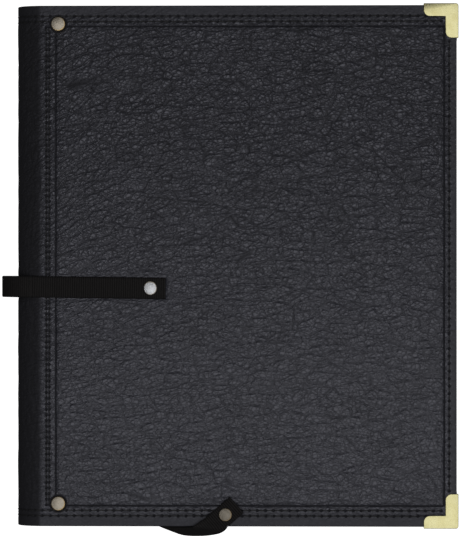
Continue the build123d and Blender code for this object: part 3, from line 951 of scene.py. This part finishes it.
def hand_loop():
    """The slack of the strap, standing out from the spine."""
    reach = loop_hi.x - loop_lo.x - webbing / 2
    rise = (loop_hi.z - loop_lo.z - webbing) / 2
    turns = np.linspace(0, pi, 221)
    x = loop_hi.x - reach * np.sin(turns)
    centres = np.stack([x, hand_line(x), mid_z + rise * np.cos(turns)], 1)
    middles = widened(centres, (0, 1, 0))
    outward = np.stack([-np.sin(turns) / reach, 0 * turns, np.cos(turns) / rise], 1)
    outward = outward / np.linalg.norm(outward, axis=1, keepdims=True)
    normals = np.repeat(outward[:, None, :], width_points, axis=1)
    made = webbing_piece("hand_strap_slack", middles, normals, 1.0)
    finish_piece(made, webbing_black, "webbing", "hand_strap_loop")
    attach(made, "spine_middle")
    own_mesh(made)


hand_loop()

strap_angle = radians(41)  # of the closing strap, from the bottom edge
loop_angle = radians(47)  # steeper round the edge
loop_share = 0.70  # how far the loop's middle line stands out, as a share of the CAD loop
loop_roll = 0.48  # its upper edge leans against the cover
loop_swing = 0.20  # and it swings sideways early
loop_clear = 0.05 * mm  # least distance of its middle sheet from the cover
past_cap = 8.8 * mm  # from the snap's middle to the strap's end
closing_hinge = joint_place("closing_strap_lift")


def closing_strap():
    """The closing strap in one length: riveted under the back cover, round the tail edge, and over to the
    snap. q is the distance up the front cover from the tail edge, and it goes on below 0 round the loop."""
    tail_y = front_lo.y
    reach = loop_share * (tail_y - closing_hinge.y - webbing / 2)
    snap = (snap_lo + snap_hi) / 2
    top = tail_top - webbing / 2
    bottom = base_bottom + webbing / 2
    middle, rise = (top + bottom) / 2, (top - bottom) / 2
    turns = np.linspace(0, pi, 721)
    loop = np.stack([-reach * np.sin(turns), rise * np.cos(turns)], 1)
    lengths = np.concatenate([[0], np.cumsum(np.hypot(*np.diff(loop, axis=0).T))])
    loop_length = lengths[-1]
    lean, loop_lean = cos(strap_angle) / sin(strap_angle), cos(loop_angle) / sin(loop_angle)
    flat = snap.y - tail_y + past_cap * sin(strap_angle)
    line = np.arange(flat, -loop_length - flat, -rib_pitch / 6 * sin(strap_angle))
    below = np.clip(-line, 0, loop_length)
    over = np.clip(line, 0, None) - np.clip(-line - loop_length, 0, None)
    share = below / loop_length
    swung = loop_lean * loop_length * (share + loop_swing * np.sin(pi * share))
    x_line = snap.x - lean * (snap.y - tail_y) + lean * over - swung
    k = spread[None, :] * webbing_width / 2
    q = line[:, None] + cos(strap_angle) * k
    x = x_line[:, None] - sin(strap_angle) * k
    turn = np.interp(-q, lengths, turns)
    y = -reach * np.sin(turn) + np.clip(q, 0, None) + np.clip(-q - loop_length, 0, None)
    leaning = np.minimum(y + loop_roll * k * np.sin(turn), -loop_clear * np.sin(turn))
    y = np.where((q < 0) & (q > -loop_length), leaning, y)
    middles = np.stack([x, tail_y + y, middle + rise * np.cos(turn)], -1)
    normals = np.stack([0 * turn, -np.sin(turn) / reach, np.cos(turn) / rise], -1)
    normals = normals / np.linalg.norm(normals, axis=-1, keepdims=True)
    made = webbing_piece("closing_strap_webbing", middles, normals)
    finish_piece(made, webbing_black, "webbing", "closing_strap_base", "closing_strap_tail")
    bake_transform(made)


closing_strap()


# ---- rivet caps


def turned(name, profile, centre, up, steps=48):
    """A closed turned piece from (radius, height) points, its first and last on the axis, heading up or
    down."""
    points, faces, rims = [], [], []
    widest = max(r for r, h in profile)
    for r, h in profile:
        if r == 0:
            points.append((centre[0], centre[1], centre[2] + up * h))
            rims.append(0.0)
            continue
        for k in range(steps):
            turn = 2 * pi * k / steps
            points.append((centre[0] + r * cos(turn), centre[1] + r * sin(turn), centre[2] + up * h))
            lean = 0.5 + 0.5 * cos(turn + radians(40))
            rims.append(smooth(0.55, 1.0, r / widest) * (0.55 + 0.45 * lean))
    starts = []
    index = 0
    for r, h in profile:
        starts.append((index, r == 0))
        index += 1 if r == 0 else steps
    for (a, a_point), (b, b_point) in zip(starts, starts[1:]):
        for k in range(steps):
            n = (k + 1) % steps
            if a_point:
                faces.append((a, b + k, b + n))
            elif b_point:
                faces.append((a + n, a + k, b))
            else:
                faces.append((a + k, b + k, b + n, a + n))
    return mesh_object(name, points, faces, {"rim": rims})


def dome_profile(radius, height, foot):
    """A cap with a turned-over rim, a slight shoulder and a low dome."""
    found = [(0.0, -foot), (radius * 0.9, -foot), (radius, -foot * 0.5), (radius, height * 0.25)]
    for k in range(1, 7):
        turn = pi / 2 * k / 6
        found.append((radius * (0.86 + 0.14 * cos(turn)), height * (0.25 + 0.5 * sin(turn))))
    for k in range(1, 7):
        t = 1 - k / 6
        found.append((radius * 0.86 * t, height * (0.75 + 0.25 * (1 - t * t))))
    return found


cap_over = 0.06 * mm  # wider than the CAD cap by this much
cap_height = 1.25 * mm
cap_foot = 0.25 * mm


def cap(name, centre, up, radius, body, material, slot):
    """A domed cap just wider and higher than the plain one in the CAD, which it hides."""
    made = turned(name, dome_profile(radius + cap_over, cap_height, cap_foot), centre, up)
    finish_piece(made, material, slot)
    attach(made, body)


for side, word in ((1, "front"), (-1, "back")):
    level = front_z if side > 0 else back_z
    x = (hinge_lo.x + hinge_hi.x) / 2
    for end, place in (("head", hinge_hi.y - hinge_cap_radius), ("tail", hinge_lo.y + hinge_cap_radius)):
        cap(f"{word}_hinge_cap_{end}", (x, place, level), side, hinge_cap_radius, word + "_cover",
            nickel_warm, "rivet_nickel")
    cap(f"{word}_hand_cap", (hand_cap.x, hand_line(hand_cap.x), level + side * webbing), side,
        strap_cap_radius, word + "_cover", nickel_bright, "snap_nickel")
snap_middle = (snap_lo + snap_hi) / 2
cap("snap_dome", (snap_middle.x, snap_middle.y, tail_top), 1, strap_cap_radius, "closing_strap",
    nickel_dark, "rivet_nickel")
base_middle = (base_cap_lo + base_cap_hi) / 2
cap("closing_rivet_dome", (base_middle.x, base_middle.y, base_bottom), -1, strap_cap_radius, "back_cover",
    nickel_warm, "rivet_nickel")


# ---- hardware and paper that keep the CAD shape, with softened edges


def refined(node, name, width, material, slot, segments=3):
    """A copy of a CAD node's shape with its sharp edges rounded, which stands for the node."""
    source = frame["nodes"][node]
    mesh = source.data.copy()
    mesh.name = name
    bm = bmesh.new()
    bm.from_mesh(mesh)
    bmesh.ops.remove_doubles(bm, verts=bm.verts, dist=1e-6)
    bmesh.ops.dissolve_limit(bm, angle_limit=radians(1), verts=bm.verts, edges=bm.edges)
    bm.to_mesh(mesh)
    bm.free()
    made = new_object(name, mesh)
    bevel = made.modifiers.new("edge", "BEVEL")
    bevel.width = width
    bevel.segments = segments
    bevel.limit_method = "ANGLE"
    bevel.angle_limit = radians(35)
    bevel.harden_normals = False
    applied = bpy.data.meshes.new_from_object(made.evaluated_get(bpy.context.evaluated_depsgraph_get()))
    made.modifiers.clear()
    made.data = applied
    applied.name = name
    applied.polygons.foreach_set("use_smooth", [True] * len(applied.polygons))
    applied.set_sharp_from_angle(angle=radians(40))
    finish_piece(made, material, slot, node)
    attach(made, frame["nodes"][node]["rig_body"])


for word in ("front", "back"):
    for end in ("head", "tail"):
        refined(f"{word}_corner_{end}", f"{word}_brass_{end}", 0.42 * mm, brass, "corner_brass")
for node in ("ring_housing", "housing_rivets", "toggle_plate_left", "toggle_plate_right"):
    refined(node, node + "_steel", 0.12 * mm, steel, "ring_steel", 2)
for node in ("front_hinge_rivets", "back_hinge_rivets", "hand_strap_front_rivet", "hand_strap_back_rivet",
             "closing_strap_rivet", "snap_cap", "snap_stud"):
    refined(node, node + "_metal", 0.12 * mm, nickel_warm, "rivet_nickel", 2)
for number in range(1, 11):
    refined(f"page_{number:02d}", f"leaf_{number:02d}", 0.10 * mm, card, "page", 1)
for word in ("front", "back"):
    refined(word + "_lining", word + "_lining_cloth", 0.25 * mm, lining_cloth, "lining", 2)
refined("front_pocket", "front_pocket_cloth", 0.2 * mm, pocket_cloth, "pocket", 2)

plain = {"rings_left": steel, "rings_right": steel, "front_board": board_grey, "back_board": board_grey}
for node, material in plain.items():
    shown = frame["nodes"][node]
    shown.data.materials.clear()
    shown.data.materials.append(material)


# ---- studio

floor_size = 6.0
floor_drop = 0.2 * mm
bpy.ops.mesh.primitive_plane_add(size=floor_size, location=(0, 0, -floor_drop))
floor = bpy.context.object
floor.name = "floor"
floor_material, _, floor_shader = new_material("floor_white")
floor_shader.inputs["Base Color"].default_value = (0.92, 0.92, 0.92, 1)
floor_shader.inputs["Roughness"].default_value = 0.9
floor_shader.inputs["Specular IOR Level"].default_value = 0.0
floor_shader.inputs["Emission Color"].default_value = (1, 1, 1, 1)
floor_shader.inputs["Emission Strength"].default_value = 1.0
floor.data.materials.append(floor_material)
floor.visible_diffuse = False
floor.visible_glossy = False

scene = bpy.context.scene
world = bpy.data.worlds.new("studio")
scene.world = world
world.use_nodes = True
world.node_tree.nodes["Background"].inputs["Color"].default_value = (1.0, 1.0, 1.0, 1)
world.node_tree.nodes["Background"].inputs["Strength"].default_value = 0.05


def softbox(name, place, size, watts):
    """A white rectangular area light aimed at the album."""
    light = bpy.data.lights.new(name, "AREA")
    light.shape = "RECTANGLE"
    light.size, light.size_y = size
    light.energy = watts
    made = bpy.data.objects.new(name, light)
    scene.collection.objects.link(made)
    made.location = place
    made.rotation_euler = (Vector((0, 0, 20 * mm)) - Vector(place)).to_track_quat("-Z", "Y").to_euler()


softbox("overhead", place=(0.20, -0.30, 2.5), size=(2.6, 2.3), watts=17.6)
softbox("side", place=(1.3, -1.2, 0.8), size=(0.6, 0.6), watts=1.2)

scene.view_settings.view_transform = "Standard"
scene.view_settings.look = "None"

camera_data = bpy.data.cameras.new("camera")
camera = bpy.data.objects.new("camera", camera_data)
scene.collection.objects.link(camera)
scene.camera = camera
camera_far = 2.1
camera_lean = radians(1.6)
view_height = 313.6 * mm  # of the cover's plane, top to bottom of the picture
look_at = Vector((spine_x + 125.5 * mm, mid_y - 1.2 * mm, front_z))
camera.location = look_at + camera_far * Vector((sin(camera_lean), 0, cos(camera_lean)))
camera.rotation_euler = (0, camera_lean, 0)
camera_data.sensor_fit = "VERTICAL"
camera_data.sensor_height = 24.0  # in millimetres, like the lens
camera_data.lens = camera_data.sensor_height * camera_far / view_height
camera_data.clip_start = 0.01
